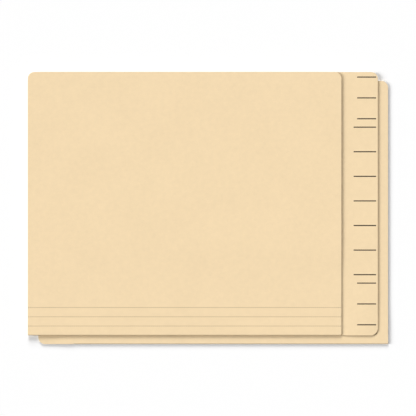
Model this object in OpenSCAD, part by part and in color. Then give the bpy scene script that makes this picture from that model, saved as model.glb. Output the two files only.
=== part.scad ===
// End-tab file jacket in manila card, lying face up on its twin, which lies face down and
// is shifted right and down so that its edges show.
// Each jacket is one sheet folded along the bottom. Scores above the fold let its base
// square up, and the back leaf carries a tab with printed index marks.
// The origin is under the middle of the pair. +X runs towards the upper jacket's tab,
// and +Y from the folds to the open top edges.

/* [Card] */
// Thickness of the card
card_t = 0.28; // [0.2:0.01:0.5]
// Height of a folded jacket, from its bottom fold to its open top edge
jacket_h = 241.3; // [200:0.1:320]
// Width of the front leaf
front_w = 287.3; // [200:0.1:400]
// How far the tab stands out past the front leaf
tab_reach = 33.4; // [26:0.1:60]
// Radius of the rounded corners
corner_r = 6.35; // [2:0.05:12]

/* [Fold and scores] */
// Distance from the fold to the first score, and from each score to the next
score_pitch = 8.467; // [5:0.001:14]
// Air between the tab's inner ply and the front leaf above it
front_air = 0.72; // [0.2:0.01:3]
// Slit between the end of the fold and the foot of the tab
fold_slit = 0.5; // [0.2:0.1:2]

/* [Tab ply] */
// How far the tab's inner ply runs in under the front leaf
ply_tuck = 12.7; // [5:0.1:40]

/* [Index marks] */
// Thickness of the printed ink
ink_t = 0.03; // [0.01:0.01:0.05]
// Width of a printed line
mark_w = 0.9; // [0.2:0.05:1]
// Length of a line in the end groups
short_mark = 17.4; // [8:0.1:20]
// Length of a line in the middle group
long_mark = 20.6; // [10:0.1:22]
// Card left between the lines and the edge of the tab
mark_margin = 1.55; // [0.5:0.05:3]
// Lines in each end group
short_count = 3; // [2:1:4]
// Lines in the middle group
long_count = 7; // [3:1:9]
// Distance between the lines of an end group
short_pitch = 19.1; // [5:0.1:22]
// Distance from an end group to the middle group
group_gap = 7.7; // [4:0.1:12]
// Distance of the highest line from the top edge
top_margin = 4.65; // [3:0.05:12]
// Distance of the lowest line from the bottom edge
bottom_margin = 9.65; // [3:0.05:14]

/* [Pair] */
// How far the lower jacket is shifted to the right
shift_x = 9.5; // [2:0.1:25]
// How far the lower jacket is shifted down
shift_y = 8.1; // [2:0.1:25]
// Air between the jackets
stack_gap = 0.1; // [0.05:0.01:1]

/* [Hidden] */
$fn = 64;
manila = [0.957, 0.859, 0.698];
ink = [0.24, 0.20, 0.16];

// A jacket's own frame starts at its left edge, its bottom fold and its back face
jacket_w = front_w + tab_reach;
leaf_gap = card_t + front_air;
jacket_t = 2 * card_t + leaf_gap;
front_z = card_t + leaf_gap;
fold_r = jacket_t / 2;
scores = 3;

pair_w = jacket_w + shift_x;
pair_h = jacket_h + shift_y;

// Heights of the index marks, group by group from the top edge down
end_group = (short_count - 1) * short_pitch;
top_group_y = [for (i = [0 : short_count - 1]) jacket_h - top_margin - i * short_pitch];
bottom_group_y = [for (i = [0 : short_count - 1]) bottom_margin + i * short_pitch];
first_long_y = jacket_h - top_margin - end_group - group_gap;
last_long_y = bottom_margin + end_group + group_gap;
long_pitch = (first_long_y - last_long_y) / (long_count - 1);
middle_group_y = [for (i = [0 : long_count - 1]) last_long_y + i * long_pitch];

// What is cut off a square corner to round it; turn 0 is a bottom left corner
module corner_cut(corner, turn) {
    spill = 1;
    translate(corner) rotate(turn) difference() {
        translate([-spill, -spill]) square(corner_r + spill);
        translate([corner_r, corner_r]) circle(corner_r);
    }
}

// The back leaf with its tab, whose foot runs down level with the outside of the fold
module back_outline() {
    difference() {
        union() {
            translate([0, fold_r]) square([jacket_w, jacket_h - fold_r]);
            translate([front_w + fold_slit, 0]) square([tab_reach - fold_slit, jacket_h]);
        }
        corner_cut([0, jacket_h], 270);
        corner_cut([jacket_w, jacket_h], 180);
        corner_cut([jacket_w, 0], 90);
    }
}

// Back half of the sheet, with the tab in one piece with it
module back_leaf() {
    color(manila) linear_extrude(card_t) back_outline();
}

// Second layer of card glued on the tab's inner face and tucked in under the front leaf
module tab_ply() {
    color(manila) translate([0, 0, card_t]) linear_extrude(card_t) intersection() {
        back_outline();
        translate([front_w - ply_tuck, 0]) square([ply_tuck + tab_reach, jacket_h]);
    }
}

// One printed line, ending at the margin along the tab's edge
module mark(length, y) {
    translate([jacket_w - mark_margin - length, y - mark_w / 2, 2 * card_t])
        cube([length, mark_w, ink_t]);
}

// Lines on the tab that show where to set labels: short, long, then short again
module index_marks() {
    color(ink) {
        for (y = concat(top_group_y, bottom_group_y)) mark(short_mark, y);
        for (y = middle_group_y) mark(long_mark, y);
    }
}

// The bend along the bottom that joins the back leaf to the first base strip
module fold_bead() {
    color(manila) translate([0, fold_r, fold_r]) rotate([90, 0, 90])
        linear_extrude(front_w) difference() {
            circle(fold_r);
            circle(fold_r - card_t);
            translate([0, -fold_r]) square(2 * fold_r);
        }
}

// A strip of the front between two scores, or between the fold and the first score
module base_strip(number) {
    foot = max(fold_r, (number - 1) * score_pitch);
    color(manila) translate([0, foot, front_z])
        cube([front_w, number * score_pitch - foot, card_t]);
}

// Front half of the sheet above the last score
module front_leaf() {
    foot = scores * score_pitch;
    color(manila) translate([0, 0, front_z]) linear_extrude(card_t) difference() {
        translate([0, foot]) square([front_w, jacket_h - foot]);
        corner_cut([0, jacket_h], 270);
        corner_cut([front_w, jacket_h], 180);
    }
}

// Place of the jacket that lies face up on top
module upper() {
    translate([-pair_w / 2, shift_y - pair_h / 2, jacket_t + stack_gap]) children();
}

// Place of the jacket that lies face down underneath
module lower() {
    translate([pair_w / 2, -pair_h / 2, jacket_t]) rotate([0, 180, 0]) children();
}

lower() back_leaf();  // lower_back_leaf
lower() tab_ply();  // lower_tab_ply
lower() index_marks();  // lower_index_marks
lower() fold_bead();  // lower_fold_bead
lower() base_strip(1);  // lower_base_strip_1
lower() base_strip(2);  // lower_base_strip_2
lower() base_strip(3);  // lower_base_strip_3
lower() front_leaf();  // lower_front_leaf
upper() back_leaf();  // upper_back_leaf
upper() tab_ply();  // upper_tab_ply
upper() index_marks();  // upper_index_marks
upper() fold_bead();  // upper_fold_bead
upper() base_strip(1);  // upper_base_strip_1
upper() base_strip(2);  // upper_base_strip_2
upper() base_strip(3);  // upper_base_strip_3
upper() front_leaf();  // upper_front_leaf
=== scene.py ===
import math

import bmesh
import bpy
from mathutils import Matrix, Vector


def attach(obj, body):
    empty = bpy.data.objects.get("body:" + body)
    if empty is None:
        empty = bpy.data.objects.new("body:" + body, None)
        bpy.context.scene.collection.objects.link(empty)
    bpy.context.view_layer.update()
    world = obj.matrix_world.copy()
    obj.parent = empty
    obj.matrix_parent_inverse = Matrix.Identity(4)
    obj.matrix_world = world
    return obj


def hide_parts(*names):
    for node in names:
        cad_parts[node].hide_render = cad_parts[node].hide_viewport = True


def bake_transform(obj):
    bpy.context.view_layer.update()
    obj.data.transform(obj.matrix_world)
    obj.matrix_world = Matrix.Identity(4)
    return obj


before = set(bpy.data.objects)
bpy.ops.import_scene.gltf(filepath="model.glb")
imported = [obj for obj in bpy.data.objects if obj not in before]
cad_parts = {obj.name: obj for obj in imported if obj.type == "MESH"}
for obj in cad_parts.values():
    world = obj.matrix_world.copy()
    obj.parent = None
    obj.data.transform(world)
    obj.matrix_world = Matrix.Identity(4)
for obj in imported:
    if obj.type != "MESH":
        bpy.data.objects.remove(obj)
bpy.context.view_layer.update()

# The pair on the desk: two like jackets of manila card, each one die-cut sheet folded along the
# bottom. One lies face down, and the other face up on top of it, moved to the left and up.
# Every piece is drawn flat in millimetres from its jacket's left edge, fold and back face.
mm = 0.001
half_width = 330.2 / 2 * mm
half_depth = 249.4 / 2 * mm
moved_up = 8.1 * mm
jacket_thickness = 1.56 * mm
stack_gap = 0.1 * mm
lay = {
    "lower": Matrix.Translation((half_width, -half_depth, jacket_thickness))
    @ Matrix.Rotation(math.pi, 4, "Y")
    @ Matrix.Scale(mm, 4),
    "upper": Matrix.Translation((-half_width, moved_up - half_depth, jacket_thickness + stack_gap))
    @ Matrix.Scale(mm, 4),
}


def lay_down(jacket, name, mesh):
    """The mesh, moved from its drawing into its place on the desk, as a piece of that jacket."""
    mesh.transform(lay[jacket])
    mesh.name = f"{jacket}_{name}"
    piece = bpy.data.objects.new(f"{jacket}_{name}", mesh)
    bpy.context.scene.collection.objects.link(piece)
    return piece


# The back leaf: the back half of the sheet, die-cut in one piece with the tab that stands out past
# the front leaf. It is uncoated card in pale buff, and its cut edge shows the paler core. Its free
# ends never lie quite flat: the upper tab lifts a little, and the lower leaf sags at both ends.
card = 0.28
height = 241.3
front_width = 287.3
tab_reach = 33.4
full_width = front_width + tab_reach
corner_radius = 6.35
corner_steps = 20
fold_radius = 0.78
fold_tail = 0.03
fold_end = fold_radius + fold_tail
foot_slit = 0.5
edge_ease = 0.045
manila_buff = (0.905, 0.708, 0.445, 1)
core_buff = (0.93, 0.80, 0.60, 1)
card_gloss = 0.18
streak_range = 0.3


def put(tree, kind, settings=None, **wires):
    """A node of that kind, with its settings. Its inputs are given by name, or by number as in _0, each
    as a value or as a socket to link."""
    node = tree.nodes.new(kind)
    for name, value in (settings or {}).items():
        setattr(node, name, value)
    for name, value in wires.items():
        socket = node.inputs[int(name[1:])] if name[0] == "_" else node.inputs[name.replace("_", " ")]
        if isinstance(value, bpy.types.NodeSocket):
            tree.links.new(value, socket)
        else:
            socket.default_value = value
    return node


def sums(tree, operation, first, second=0.0, third=None):
    """The result of one step of arithmetic on sockets or numbers."""
    wires = {"_0": first, "_1": second}
    if third is not None:
        wires["_2"] = third
    return put(tree, "ShaderNodeMath", {"operation": operation}, **wires).outputs[0]


# Card stock as it comes off the machine: clouds where the pulp lies thicker, pale and dark fibres
# caught in the face at random slants, and a fine tooth that takes the gloss off.
drift_strength = 0.5
pale_strength = 0.6
dark_strength = 1.4
dry_roughness = 0.94
cloud_polish = 0.2
tooth_relief = 0.6
cloud_relief = 0.4
card_stock = bpy.data.node_groups.new("card stock", "ShaderNodeTree")
for name, kind, value in (
    ("Place", "NodeSocketVector", None),
    ("Tint", "NodeSocketColor", manila_buff),
    ("Clouds", "NodeSocketFloat", 0.1),
    ("Fibres", "NodeSocketFloat", 0.1),
):
    socket = card_stock.interface.new_socket(name, in_out="INPUT", socket_type=kind)
    if value is not None:
        socket.default_value = value
card_stock.interface.new_socket("Colour", in_out="OUTPUT", socket_type="NodeSocketColor")
card_stock.interface.new_socket("Roughness", in_out="OUTPUT", socket_type="NodeSocketFloat")
card_stock.interface.new_socket("Height", in_out="OUTPUT", socket_type="NodeSocketFloat")
given = card_stock.nodes.new("NodeGroupInput").outputs
clouds = put(card_stock, "ShaderNodeTexNoise", Vector=given["Place"], Scale=230.0, Detail=5.0,
             Roughness=0.62).outputs[0]
broad = put(card_stock, "ShaderNodeTexNoise", Vector=given["Place"], Scale=24.0, Detail=2.0).outputs[0]
tooth = put(card_stock, "ShaderNodeTexNoise", Vector=given["Place"], Scale=4200.0, Detail=3.0,
            Roughness=0.6).outputs[0]


def loose_fibres(cells, length, width, curl, share):
    """A mask of loose fibres: at most one to a cell of the face, each with its own slant and curl."""
    firm_sides = 1.6
    firm_ends = 4.0
    cell = put(card_stock, "ShaderNodeTexVoronoi", {"voronoi_dimensions": "2D"}, Vector=given["Place"],
               Scale=cells)
    chance = put(card_stock, "ShaderNodeSeparateColor", Color=cell.outputs["Color"]).outputs
    away = put(card_stock, "ShaderNodeVectorMath", {"operation": "SUBTRACT"}, _0=given["Place"],
               _1=cell.outputs["Position"]).outputs[0]
    slant = sums(card_stock, "MULTIPLY", chance[0], 2 * math.pi)
    turned = put(card_stock, "ShaderNodeVectorRotate", {"rotation_type": "Z_AXIS"}, Vector=away, Angle=slant)
    spot = put(card_stock, "ShaderNodeSeparateXYZ", Vector=turned.outputs[0]).outputs
    bend = sums(card_stock, "MULTIPLY", sums(card_stock, "SUBTRACT", chance[1], 0.5), 2 * curl)
    squared = sums(card_stock, "MULTIPLY", spot[0], spot[0])
    middle = sums(card_stock, "ABSOLUTE", sums(card_stock, "MULTIPLY_ADD", squared, bend, spot[1]))
    across = sums(card_stock, "MULTIPLY_ADD", middle, -2 / width, 1.0)
    along = sums(card_stock, "MULTIPLY_ADD", sums(card_stock, "ABSOLUTE", spot[0]), -2 / length, 1.0)
    sides = sums(card_stock, "MULTIPLY", across, firm_sides)
    body = put(card_stock, "ShaderNodeClamp", Value=sides).outputs[0]
    tips = sums(card_stock, "MULTIPLY", along, firm_ends)
    ends = put(card_stock, "ShaderNodeClamp", Value=tips).outputs[0]
    there = sums(card_stock, "LESS_THAN", chance[2], share)
    return sums(card_stock, "MULTIPLY", sums(card_stock, "MULTIPLY", body, ends), there)


pale_fibres = loose_fibres(cells=460.0, length=0.0017, width=0.00011, curl=420.0, share=0.8)
dark_fibres = loose_fibres(cells=310.0, length=0.0013, width=0.00009, curl=640.0, share=0.35)
cloudy = sums(card_stock, "MULTIPLY", sums(card_stock, "SUBTRACT", clouds, 0.5), given["Clouds"])
drift = sums(card_stock, "MULTIPLY", sums(card_stock, "SUBTRACT", broad, 0.5), given["Clouds"])
pale = sums(card_stock, "MULTIPLY", pale_fibres, given["Fibres"])
dark = sums(card_stock, "MULTIPLY", dark_fibres, given["Fibres"])
tone = sums(card_stock, "ADD", 1.0, cloudy)
tone = sums(card_stock, "MULTIPLY_ADD", drift, drift_strength, tone)
tone = sums(card_stock, "MULTIPLY_ADD", pale, pale_strength, tone)
tone = sums(card_stock, "MULTIPLY_ADD", dark, -dark_strength, tone)
shaded = put(card_stock, "ShaderNodeHueSaturation", Color=given["Tint"], Value=tone).outputs[0]
dryness = sums(card_stock, "MULTIPLY_ADD", clouds, -cloud_polish, dry_roughness)
swell = sums(card_stock, "MULTIPLY", clouds, cloud_relief)
relief = sums(card_stock, "MULTIPLY_ADD", tooth, tooth_relief, swell)
given_out = card_stock.nodes.new("NodeGroupOutput")
card_stock.links.new(shaded, given_out.inputs["Colour"])
card_stock.links.new(dryness, given_out.inputs["Roughness"])
card_stock.links.new(sums(card_stock, "ADD", relief, pale), given_out.inputs["Height"])


def card_material(name, tint, clouds, fibres, tooth_depth):
    """A finish of that card stock: the material, and its shader, its stock and its coordinates."""
    material = bpy.data.materials.new(name)
    material.use_nodes = True
    tree = material.node_tree
    shader = tree.nodes["Principled BSDF"]
    shader.inputs["Specular IOR Level"].default_value = card_gloss
    place = tree.nodes.new("ShaderNodeTexCoord").outputs["Object"]
    stock = put(tree, "ShaderNodeGroup", {"node_tree": card_stock}, Place=place, Tint=tint, Clouds=clouds,
                Fibres=fibres)
    bump = put(tree, "ShaderNodeBump", Strength=0.35, Distance=tooth_depth, Height=stock.outputs["Height"])
    tree.links.new(stock.outputs["Colour"], shader.inputs["Base Color"])
    tree.links.new(stock.outputs["Roughness"], shader.inputs["Roughness"])
    tree.links.new(bump.outputs[0], shader.inputs["Normal"])
    return material, shader, stock, place


def tone_by(tree, shader, stock, level):
    """Lightens or darkens the stock's colour by that level on its way to the shader."""
    toned = put(tree, "ShaderNodeHueSaturation", Color=stock.outputs["Colour"], Value=level)
    tree.links.new(toned.outputs[0], shader.inputs["Base Color"])


manila_card = card_material("manila card", manila_buff, clouds=0.11, fibres=0.1, tooth_depth=0.00002)[0]

# The cut edge: the knife leaves the card's layers as fine streaks along the edge.
cut_edge, edge_shader, edge_stock, edge_place = card_material(
    "cut edge of the card", core_buff, clouds=0.16, fibres=0.2, tooth_depth=0.00004)
edge_tree = cut_edge.node_tree
layers = put(edge_tree, "ShaderNodeMapping", Vector=edge_place, Scale=(300.0, 300.0, 16000.0)).outputs[0]
streaks = put(edge_tree, "ShaderNodeTexNoise", Vector=layers, Scale=1.0, Detail=3.0).outputs[0]
streaky = sums(edge_tree, "MULTIPLY_ADD", streaks, streak_range, 1 - streak_range / 2)
tone_by(edge_tree, edge_shader, edge_stock, streaky)


def outline(corners):
    """Points round a sheet, anticlockwise, from its square corners and each one's own radius."""
    points = []
    for i, (x, y, radius) in enumerate(corners):
        here = Vector((x, y))
        if radius == 0:
            points.append(here)
            continue
        before = (Vector(corners[i - 1][:2]) - here).normalized()
        after = (Vector(corners[(i + 1) % len(corners)][:2]) - here).normalized()
        centre = here + radius * (before + after)
        for step in range(corner_steps + 1):
            turn = math.pi / 2 * step / corner_steps
            points.append(centre - radius * (after * math.cos(turn) + before * math.sin(turn)))
    return points


def cut_card(points, underside, joined=(), lines_x=(), lines_y=(), bow=None):
    """A closed sheet cut to those points. Its edges are eased, except along the heights where it is
    joined to the next panel, and it is divided along the lines so that it can bow."""
    sheet = bmesh.new()
    low = [sheet.verts.new((p.x, p.y, underside)) for p in points]
    high = [sheet.verts.new((p.x, p.y, underside + card)) for p in points]
    sheet.faces.new(list(reversed(low)))
    sheet.faces.new(high)
    for i in range(len(points)):
        j = (i + 1) % len(points)
        sheet.faces.new((low[i], low[j], high[j], high[i]))
    same = 1e-4
    rims = []
    for edge in sheet.edges:
        a, b = edge.verts[0].co, edge.verts[1].co
        along_joint = any(abs(a.y - y) < same and abs(b.y - y) < same for y in joined)
        if abs(a.z - b.z) < same and not along_joint:
            rims.append(edge)
    bmesh.ops.bevel(sheet, geom=rims, offset=edge_ease, offset_type="OFFSET", segments=2, profile=0.5,
                    affect="EDGES", clamp_overlap=True)
    for axis, lines in ((0, lines_x), (1, lines_y)):
        for line in lines:
            across = Vector((0, 0, 0))
            across[axis] = 1
            bmesh.ops.bisect_plane(sheet, geom=sheet.verts[:] + sheet.edges[:] + sheet.faces[:],
                                   plane_co=across * line, plane_no=across, dist=1e-5)
    nearly_level = 0.9
    for face in sheet.faces:
        face.normal_update()
        wall = abs(face.normal.z) < nearly_level
        face.material_index = 1 if wall else 0
        face.smooth = wall
    if bow is not None:
        for vert in sheet.verts:
            vert.co.z += bow(vert.co.x, vert.co.y)
    mesh = bpy.data.meshes.new("card")
    sheet.to_mesh(mesh)
    sheet.free()
    mesh.materials.append(manila_card)
    mesh.materials.append(cut_edge)
    return mesh


# How the leaf bows: each tab from its root outwards, the upper one's foot a little more, and the
# lower leaf also at the end away from its tab, but not by its fold.
tab_root = 2
tab_lift = 0.2
lift_curve = 1.5
foot_lift = 0.28
foot_rise = 60
tab_sag = 0.32
tab_sag_pace = 1.4
end_sag = 0.28
end_flat = 18
end_run = 72
sag_foot = 8
sag_climb = 34


def ease(share):
    """A smooth step from 0 to 1."""
    share = min(1.0, max(0.0, share))
    return share * share * (3 - 2 * share)


def along_tab(x):
    """The share of the way from the tab's root to its end."""
    return min(1.0, max(0.0, (x - front_width - tab_root) / (tab_reach - tab_root)))


def upper_curl(x, y):
    """How far the upper tab lifts there: towards its end, and in the middle of its foot."""
    out = along_tab(x)
    return tab_lift * out ** lift_curve + foot_lift * math.sin(math.pi * out) * ease(1 - y / foot_rise)


def lower_sag(x, y):
    """How far the lower leaf sags there. It is drawn face up and lies face down, so that is upwards."""
    at_end = end_sag * ease((end_flat + end_run - x) / end_run) * ease((y - sag_foot) / sag_climb)
    return at_end + tab_sag * ease(tab_sag_pace * along_tab(x))


bows = {"lower": lower_sag, "upper": upper_curl}
tab_lines = [front_width + tab_root + 1.6 * i for i in range(20)]
foot_lines = [2 + 4 * i for i in range(15)]
end_lines = [end_flat + 6 * i for i in range(13)]
climb_lines = [sag_foot + 2.4 * i for i in range(15)]
tab_corners = [
    (front_width + foot_slit, fold_end, 0),
    (front_width + foot_slit, 0, 0),
    (full_width, 0, corner_radius),
    (full_width, height, corner_radius),
]
for jacket in lay:
    sheet = cut_card(
        outline([(0, fold_end, 0), *tab_corners, (0, height, corner_radius)]),
        0,
        joined=[fold_end],
        lines_x=tab_lines if jacket == "upper" else end_lines + tab_lines,
        lines_y=foot_lines if jacket == "upper" else climb_lines,
        bow=bows[jacket],
    )
    back = lay_down(jacket, "back_sheet", sheet)
    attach(back, f"{jacket}_back")
    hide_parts(f"{jacket}_back_leaf")

# The tab's second ply: a strip of the same card glued on the tab's inner face, so that it stands
# handling. It runs in under the front leaf, and bows with the tab.
ply_tuck = 12.7
ply_left = front_width - ply_tuck
for jacket in lay:
    strip = cut_card(
        outline([(ply_left, fold_end, 0), *tab_corners, (ply_left, height, 0)]),
        card,
        lines_x=tab_lines,
        lines_y=foot_lines,
        bow=bows[jacket],
    )
    ply = lay_down(jacket, "tab_inner_ply", strip)
    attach(ply, f"{jacket}_back")
    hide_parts(f"{jacket}_tab_ply")

# The index marks: thirteen plain lines printed across the tab to show where labels go, in three
# groups. They are a thin film of dark ink, a little broken where the card's tooth shows through.
ink_brown = (0.016, 0.013, 0.010, 1)
tooth_shows_from = 0.62
tooth_shows_fast = 6.0
tooth_shows_most = 0.08
rim_taper = 0.08
mark_margin = 1.55
top_margin = 4.65
mark_sizes = {
    "Short length": 17.4,
    "Long length": 20.6,
    "Width": 1.0,
    "Thickness": 0.03,
    "Right end": full_width - mark_margin,
    "Top line": height - top_margin,
    "Bottom line": 9.65,
    "Short pitch": 19.1,
    "Short count": 3,
    "Group gap": 7.7,
    "Long count": 7,
}

index_ink, ink_shader, ink_stock, ink_place = card_material(
    "printed index ink", ink_brown, clouds=0.5, fibres=0.3, tooth_depth=0.00001)
ink_tree = index_ink.node_tree
tooth_through = put(ink_tree, "ShaderNodeTexNoise", Vector=ink_place, Scale=5200.0, Detail=2.0).outputs[0]
bare = sums(ink_tree, "SUBTRACT", tooth_through, tooth_shows_from)
bare = sums(ink_tree, "MULTIPLY", bare, tooth_shows_fast)
bare = put(ink_tree, "ShaderNodeClamp", Value=bare, Max=tooth_shows_most).outputs[0]
ink_over = put(ink_tree, "ShaderNodeMix", {"data_type": "RGBA"}, _0=bare, _6=ink_stock.outputs["Colour"],
               _7=manila_buff).outputs[2]
ink_tree.links.new(ink_over, ink_shader.inputs["Base Color"])


def tree_for(name, sizes):
    """A new tree with an input for each size: the tree, its sockets, and what they give inside it."""
    tree = bpy.data.node_groups.new(name, "GeometryNodeTree")
    tree.interface.new_socket("Geometry", in_out="INPUT", socket_type="NodeSocketGeometry")
    tree.interface.new_socket("Geometry", in_out="OUTPUT", socket_type="NodeSocketGeometry")
    sockets = {}
    for size in sizes:
        kind = "NodeSocketInt" if size.endswith("count") else "NodeSocketFloat"
        sockets[size] = tree.interface.new_socket(size, in_out="INPUT", socket_type=kind)
    return tree, sockets, tree.nodes.new("NodeGroupInput").outputs


def close_tree(tree, shape, material):
    """Ends the tree with that shape, made real and given that material."""
    real = put(tree, "GeometryNodeRealizeInstances", Geometry=shape).outputs[0]
    covered = put(tree, "GeometryNodeSetMaterial", Geometry=real, Material=material).outputs[0]
    tree.links.new(covered, tree.nodes.new("NodeGroupOutput").inputs[0])


mark_rows, mark_sockets, asked = tree_for("index mark rows", mark_sizes)


def mark_bar(length):
    """One printed line, which ends at the origin: a film that thins out towards its rim."""
    middle = sums(mark_rows, "MULTIPLY", asked["Thickness"], 0.5)
    size = put(mark_rows, "ShaderNodeCombineXYZ", X=length, Y=asked["Width"], Z=asked["Thickness"])
    film = put(mark_rows, "GeometryNodeMeshCube", Size=size.outputs[0], Vertices_X=15, Vertices_Y=4,
               Vertices_Z=2)
    place = put(mark_rows, "GeometryNodeInputPosition").outputs[0]
    spot = put(mark_rows, "ShaderNodeSeparateXYZ", Vector=place)
    on_top = sums(mark_rows, "GREATER_THAN", spot.outputs["Z"], 0.0)
    aside = sums(mark_rows, "MULTIPLY", spot.outputs["Y"], on_top)
    thinned = sums(mark_rows, "MULTIPLY", aside, -rim_taper)
    back = sums(mark_rows, "MULTIPLY", length, -0.5)
    shift = put(mark_rows, "ShaderNodeCombineXYZ", X=back, Y=thinned, Z=middle).outputs[0]
    return put(mark_rows, "GeometryNodeSetPosition", Geometry=film.outputs[0], Offset=shift).outputs[0]


def mark_group(length, count, start_y, step_y):
    """A group of like lines, one below the other."""
    start = put(mark_rows, "ShaderNodeCombineXYZ", X=asked["Right end"], Y=start_y, Z=2 * card).outputs[0]
    step = put(mark_rows, "ShaderNodeCombineXYZ", Y=step_y).outputs[0]
    row = put(mark_rows, "GeometryNodeMeshLine", Count=count, Start_Location=start, Offset=step).outputs[0]
    return put(mark_rows, "GeometryNodeInstanceOnPoints", Points=row, Instance=mark_bar(length)).outputs[0]


down = sums(mark_rows, "MULTIPLY", asked["Short pitch"], -1.0)
end_steps = sums(mark_rows, "SUBTRACT", asked["Short count"], 1.0)
end_depth = sums(mark_rows, "MULTIPLY_ADD", end_steps, asked["Short pitch"], asked["Group gap"])
first_long = sums(mark_rows, "SUBTRACT", asked["Top line"], end_depth)
last_long = sums(mark_rows, "ADD", asked["Bottom line"], end_depth)
long_steps = sums(mark_rows, "SUBTRACT", asked["Long count"], 1.0)
long_pitch = sums(mark_rows, "DIVIDE", sums(mark_rows, "SUBTRACT", last_long, first_long), long_steps)
all_rows = mark_rows.nodes.new("GeometryNodeJoinGeometry")
for rows in (
    mark_group(asked["Short length"], asked["Short count"], asked["Top line"], down),
    mark_group(asked["Long length"], asked["Long count"], first_long, long_pitch),
    mark_group(asked["Short length"], asked["Short count"], asked["Bottom line"], asked["Short pitch"]),
):
    mark_rows.links.new(rows, all_rows.inputs[0])
close_tree(mark_rows, all_rows.outputs[0], index_ink)


def made_by(tree, sockets, sizes):
    """The plain mesh that a tree makes from those sizes."""
    carrier = bpy.data.objects.new("carrier", bpy.data.meshes.new("carrier"))
    bpy.context.scene.collection.objects.link(carrier)
    modifier = carrier.modifiers.new("made", "NODES")
    modifier.node_group = tree
    for name, value in sizes.items():
        modifier[sockets[name].identifier] = value
    bpy.context.view_layer.update()
    seen = bpy.context.evaluated_depsgraph_get()
    mesh = bpy.data.meshes.new_from_object(carrier.evaluated_get(seen), preserve_all_data_layers=True,
                                           depsgraph=seen)
    carrier.modifiers.remove(modifier)
    bpy.data.objects.remove(carrier)
    return mesh


for jacket in lay:
    printed = made_by(mark_rows, mark_sockets, mark_sizes)
    for vert in printed.vertices:
        vert.co.z += bows[jacket](vert.co.x, vert.co.y)
    marks = lay_down(jacket, "tab_lines", printed)
    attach(marks, f"{jacket}_back")
    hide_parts(f"{jacket}_index_marks")

# The fold: the bend along the bottom that joins the back leaf to the front. The card is rolled over
# a blade, so its outside is stretched and its fibres stand up in short cracks along the bend.
leaf_gap = 1.0
fold_front = card + leaf_gap
fold_steps = 32
fold_buff = (0.915, 0.725, 0.465, 1)
fold_tooth = 0.00004
crack_range = 0.16
crack_relief = 0.8
folded_card, fold_shader, fold_stock, fold_place = card_material(
    "card along the fold", fold_buff, clouds=0.14, fibres=0.2, tooth_depth=fold_tooth)
fold_tree = folded_card.node_tree
along = put(fold_tree, "ShaderNodeMapping", Vector=fold_place, Scale=(420.0, 5200.0, 5200.0)).outputs[0]
cracks = put(fold_tree, "ShaderNodeTexNoise", Vector=along, Scale=1.0, Detail=3.0).outputs[0]
cracked = sums(fold_tree, "MULTIPLY_ADD", cracks, crack_range, 1 - crack_range / 2)
tone_by(fold_tree, fold_shader, fold_stock, cracked)
fold_height = sums(fold_tree, "MULTIPLY_ADD", cracks, crack_relief, fold_stock.outputs["Height"])
fold_bump = put(fold_tree, "ShaderNodeBump", Strength=0.4, Distance=fold_tooth, Height=fold_height)
fold_tree.links.new(fold_bump.outputs[0], fold_shader.inputs["Normal"])


def bend_section(radius):
    """Points of the bend at that radius, from the back leaf round to the front, straight at both ends."""
    points = [(fold_end, fold_radius - radius)]
    for step in range(fold_steps + 1):
        turn = math.pi * step / fold_steps
        points.append((fold_radius - radius * math.sin(turn), fold_radius - radius * math.cos(turn)))
    points.append((fold_end, fold_radius + radius))
    return points


# Each end is eased, and one more ring close by keeps the long faces between them evenly shaded
fold_ends = [0.0, edge_ease, 3 * edge_ease]
fold_rings = fold_ends + [front_width - x for x in reversed(fold_ends)]
for jacket in lay:
    bend = bmesh.new()
    rings = []
    for x in fold_rings:
        eased = edge_ease if x in (0.0, front_width) else 0.0
        section = bend_section(fold_radius - eased) + bend_section(fold_radius - card + eased)[::-1]
        rings.append([bend.verts.new((x, y, z)) for y, z in section])
    for left, right in zip(rings, rings[1:]):
        for i in range(len(left)):
            j = (i + 1) % len(left)
            bend.faces.new((left[i], left[j], right[j], right[i])).smooth = True
    for i in range(len(rings[0]) // 2 - 1):
        j = len(rings[0]) - 2 - i
        for end in (rings[0], rings[-1]):
            bend.faces.new((end[i], end[i + 1], end[j], end[j + 1]))
    bmesh.ops.recalc_face_normals(bend, faces=bend.faces[:])
    rolled = bpy.data.meshes.new("fold")
    bend.to_mesh(rolled)
    bend.free()
    rolled.materials.append(folded_card)
    fold = lay_down(jacket, "fold", rolled)
    end = lay[jacket] @ Vector((0, fold_radius, fold_front))
    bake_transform(fold)
    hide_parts(f"{jacket}_fold_bead")

# The scores: three lines pressed into the front above the fold, so that the base can square up when
# the jacket fills. A toothed rule presses a shallow groove with a row of deeper dashes in it, which
# raises a slight bead on its inner face. The card is painted darker along the groove and more in the
# dashes: partly the pressed card's own tone, and partly painted shade of the dents.
score_pitch = 8.467
score_heights = [score_pitch, 2 * score_pitch, 3 * score_pitch]
score_sizes = {
    "Length": front_width,
    "Width": 1.2,
    "Thickness": card,
    "Dash count": 151,
    "Groove depth": 0.02,
    "Dash depth": 0.08,
    "Reach": 0.42,
}
columns_per_dash = 6.0
dash_share = 0.5
# How dark the groove and the dashes are painted: partly pressed card, partly painted shade of the dents
groove_press_and_shade = 0.05
press_and_dent_shade = 0.78
# The scores' card, darkened along the lines by its pressed tone and by painted shade of the dents
scored_card_with_dent_shade, pressed_shader, pressed_stock = card_material(
    "scored card with painted dent shade", manila_buff, clouds=0.11, fibres=0.1, tooth_depth=0.00002)[:3]
pressed_tree = scored_card_with_dent_shade.node_tree
# The mark that the score line stores: where to paint the pressed tone and the painted dent shade
pressed_and_shaded = put(pressed_tree, "ShaderNodeAttribute", {"attribute_name": "pressed_and_shaded"}).outputs["Fac"]
press_and_shade_tone = sums(pressed_tree, "MULTIPLY_ADD", pressed_and_shaded, -press_and_dent_shade, 1.0)
tone_by(pressed_tree, pressed_shader, pressed_stock, press_and_shade_tone)

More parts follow.
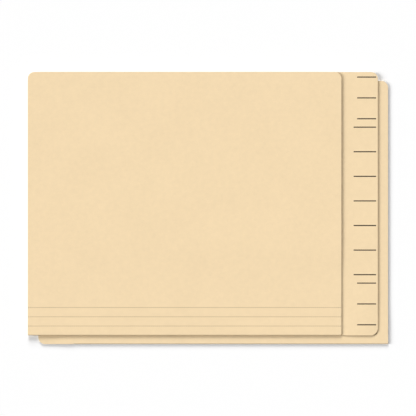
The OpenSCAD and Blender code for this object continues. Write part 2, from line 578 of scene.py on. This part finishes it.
score_line, score_sockets, wanted = tree_for("score line", score_sizes)
stretch = put(score_line, "ShaderNodeCombineXYZ", X=wanted["Length"], Y=wanted["Width"],
              Z=wanted["Thickness"]).outputs[0]
columns = sums(score_line, "MULTIPLY_ADD", wanted["Dash count"], columns_per_dash, 1.0)
blank = put(score_line, "GeometryNodeMeshCube", Size=stretch, Vertices_X=columns, Vertices_Y=11,
            Vertices_Z=2).outputs[0]
on_line = put(score_line, "GeometryNodeInputPosition").outputs[0]
point = put(score_line, "ShaderNodeSeparateXYZ", Vector=on_line)
run = sums(score_line, "ADD", sums(score_line, "DIVIDE", point.outputs["X"], wanted["Length"]), 0.5)
beat = sums(score_line, "FRACT", sums(score_line, "MULTIPLY", run, wanted["Dash count"]))
off_beat = sums(score_line, "ABSOLUTE", sums(score_line, "SUBTRACT", beat, 0.5))
dash = sums(score_line, "LESS_THAN", off_beat, dash_share / 2)
aside = sums(score_line, "DIVIDE", sums(score_line, "ABSOLUTE", point.outputs["Y"]), wanted["Reach"])
centred = put(score_line, "ShaderNodeClamp", Value=sums(score_line, "SUBTRACT", 1.0, aside)).outputs[0]
outside = sums(score_line, "GREATER_THAN", point.outputs["Z"], 0.0)
deeper = sums(score_line, "SUBTRACT", wanted["Dash depth"], wanted["Groove depth"])
groove = sums(score_line, "MULTIPLY", wanted["Groove depth"], outside)
depth = sums(score_line, "MULTIPLY_ADD", dash, deeper, groove)
sink = sums(score_line, "MULTIPLY", sums(score_line, "MULTIPLY", depth, centred), -1.0)
move = put(score_line, "ShaderNodeCombineXYZ", Z=sink).outputs[0]
grooved = put(score_line, "GeometryNodeSetPosition", Geometry=blank, Offset=move).outputs[0]
# The groove is painted a little darker and the dashes more, as pressed card and as painted dent shade
dash_press_and_shade = sums(score_line, "MULTIPLY_ADD", dash, 1 - groove_press_and_shade, groove_press_and_shade)
line_press_and_shade = sums(score_line, "MULTIPLY", sums(score_line, "MULTIPLY", centred, dash_press_and_shade), outside)
toned = put(score_line, "GeometryNodeStoreNamedAttribute", {"data_type": "FLOAT", "domain": "POINT"},
            Geometry=grooved, Name="pressed_and_shaded", Value=line_press_and_shade).outputs[0]
close_tree(score_line, toned, scored_card_with_dent_shade)

half_score = score_sizes["Width"] / 2
score_bend = 0.28
for jacket in lay:
    for i, y in enumerate(score_heights):
        line = made_by(score_line, score_sockets, score_sizes)
        line.transform(Matrix.Translation((front_width / 2, y, fold_front + card / 2)))
        score = lay_down(jacket, f"score_{i + 1}", line)
        if jacket == "lower":
            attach(score, "lower_cover")
        else:
            end = lay[jacket] @ Vector((0, y + score_bend, fold_front))
            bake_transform(score)

# The base strips: the narrow panels of the same sheet between the fold and the scores, which make
# the square bottom of a full jacket.
for jacket in lay:
    for number in (1, 2, 3):
        foot = fold_end if number == 1 else (number - 1) * score_pitch + half_score
        head = number * score_pitch - half_score
        strip = cut_card(
            outline([(0, foot, 0), (front_width, foot, 0), (front_width, head, 0), (0, head, 0)]),
            fold_front,
            joined=[foot, head],
        )
        panel = lay_down(jacket, f"base_panel_{number}", strip)
        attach(panel, "lower_cover" if jacket == "lower" else f"upper_strip_{number}")
        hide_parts(f"{jacket}_base_strip_{number}")

# The front leaf: the rest of the sheet's front half, above the third score, with rounded top
# corners. Its free side stands a hair higher than its left edge, as folded card springs open. It
# stays flat near the scores, so that it can turn back over the base strips.
front_foot = score_heights[-1] + half_score
front_spring = 0.33
spring_start = 52
spring_rise = 30


def spring_open(x, y):
    """How far the front leaf stands off there: not at all by its foot, and most along its right side."""
    return front_spring * ease((y - spring_start) / spring_rise) * (x / front_width) ** 2


spring_lines_x = [front_width * i / 16 for i in range(1, 16)]
spring_lines_y = [spring_start + 3 * i for i in range(11)] + [98, 120, 150, 180, 210]
for jacket in lay:
    sheet = cut_card(
        outline([
            (0, front_foot, 0),
            (front_width, front_foot, 0),
            (front_width, height, corner_radius),
            (0, height, corner_radius),
        ]),
        fold_front,
        joined=[front_foot],
        lines_x=spring_lines_x,
        lines_y=spring_lines_y,
        bow=spring_open if jacket == "upper" else None,
    )
    front = lay_down(jacket, "front_sheet", sheet)
    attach(front, "lower_cover" if jacket == "lower" else "upper_front")
    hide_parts(f"{jacket}_front_leaf")

# The table top that the pair lies on: a plain white sheet, which shows white to the lens and keeps
# the soft shadows of the card.
table_half = 4
table_level = -0.0001
table_white = 0.95
table_grain = 0.01
table_glow = 0.056
table_mesh = bpy.data.meshes.new("table_top")
table_corners = [(-table_half, -table_half), (table_half, -table_half)]
table_corners += [(table_half, table_half), (-table_half, table_half)]
table_mesh.from_pydata([(x, y, table_level) for x, y in table_corners], [], [(0, 1, 2, 3)])
table_top = bpy.data.objects.new("table_top", table_mesh)
bpy.context.scene.collection.objects.link(table_top)


def looked_at(tree):
    """1 for what the lens sees, directly, in a gloss or through glass, and 0 for all other light."""
    ray = tree.nodes.new("ShaderNodeLightPath").outputs
    seen = sums(tree, "MAXIMUM", ray["Is Camera Ray"], ray["Is Glossy Ray"])
    return sums(tree, "MAXIMUM", seen, ray["Is Transmission Ray"])


white_sheet = bpy.data.materials.new("white table sheet")
white_sheet.use_nodes = True
sheet_tree = white_sheet.node_tree
sheet_shader = sheet_tree.nodes["Principled BSDF"]
sheet_shader.inputs["Specular IOR Level"].default_value = 0.0
sheet_shader.inputs["Roughness"].default_value = 1.0
sheet_place = sheet_tree.nodes.new("ShaderNodeTexCoord").outputs["Object"]
sheet_grain = put(sheet_tree, "ShaderNodeTexNoise", Vector=sheet_place, Scale=300.0).outputs[0]
sheet_level = sums(sheet_tree, "MULTIPLY_ADD", sheet_grain, table_grain, table_white - table_grain / 2)
sheet_white = put(sheet_tree, "ShaderNodeCombineColor", _0=sheet_level, _1=sheet_level, _2=sheet_level)
sheet_tree.links.new(sheet_white.outputs[0], sheet_shader.inputs["Base Color"])
glow_level = sums(sheet_tree, "MULTIPLY", looked_at(sheet_tree), table_glow)
glow = put(sheet_tree, "ShaderNodeEmission", Strength=glow_level).outputs[0]
both = put(sheet_tree, "ShaderNodeAddShader", _0=sheet_shader.outputs[0], _1=glow).outputs[0]
sheet_tree.links.new(both, sheet_tree.nodes["Material Output"].inputs["Surface"])
# The glow is for the lens and lights nothing else, so it isn't sampled as a lamp
white_sheet.cycles.emission_sampling = "NONE"
table_mesh.materials.append(white_sheet)

# The studio light: two soft keys, low down on the left and beyond the top edge, and a little fill
# from all round. Together they light a flat sheet at the level where its colour reads as mixed.
fill_share = 0.055
lamp_distance = 2
for name, share, azimuth, elevation, spread in (
    ("key on the left", 0.48, 178.5, 26.5, 29),
    ("key beyond the top edge", 0.455, 97, 25.2, 26),
):
    lamp = bpy.data.lights.new(name, "SUN")
    lamp.energy = math.pi * share / math.sin(math.radians(elevation))
    lamp.angle = math.radians(spread)
    holder = bpy.data.objects.new(name, lamp)
    level = math.cos(math.radians(elevation))
    toward = Vector((
        level * math.cos(math.radians(azimuth)),
        level * math.sin(math.radians(azimuth)),
        math.sin(math.radians(elevation)),
    ))
    holder.rotation_euler = toward.to_track_quat("Z", "Y").to_euler()
    holder.location = toward * lamp_distance
    bpy.context.scene.collection.objects.link(holder)

room = bpy.data.worlds.new("studio")
bpy.context.scene.world = room
room.use_nodes = True
room_tree = room.node_tree
room_tree.nodes.clear()
backdrop = looked_at(room_tree)
room_fill = put(room_tree, "ShaderNodeBackground", Color=(1, 1, 1, 1), Strength=fill_share).outputs[0]
room_white = put(room_tree, "ShaderNodeBackground", Color=(1, 1, 1, 1), Strength=1.0).outputs[0]
room_mix = put(room_tree, "ShaderNodeMixShader", _0=backdrop, _1=room_fill, _2=room_white).outputs[0]
room_tree.links.new(room_mix, put(room_tree, "ShaderNodeOutputWorld").inputs["Surface"])

# The camera: straight above the pair with a long lens, so that the sheets show no perspective. Its
# distance is such that the frame takes in the width of the view at the level of the card.
view_width = 381.1 * mm
card_level = 2.8 * mm
off_middle = 0.06 * mm
lens = bpy.data.cameras.new("camera above")
lens.type = "PERSP"
lens.lens = 150
lens.sensor_width = 36
lens.clip_end = 20
camera = bpy.data.objects.new("camera above", lens)
camera.location = (0.0, off_middle, card_level + view_width * lens.lens / lens.sensor_width)
bpy.context.scene.collection.objects.link(camera)
bpy.context.scene.camera = camera
bpy.context.scene.view_settings.view_transform = "Standard"
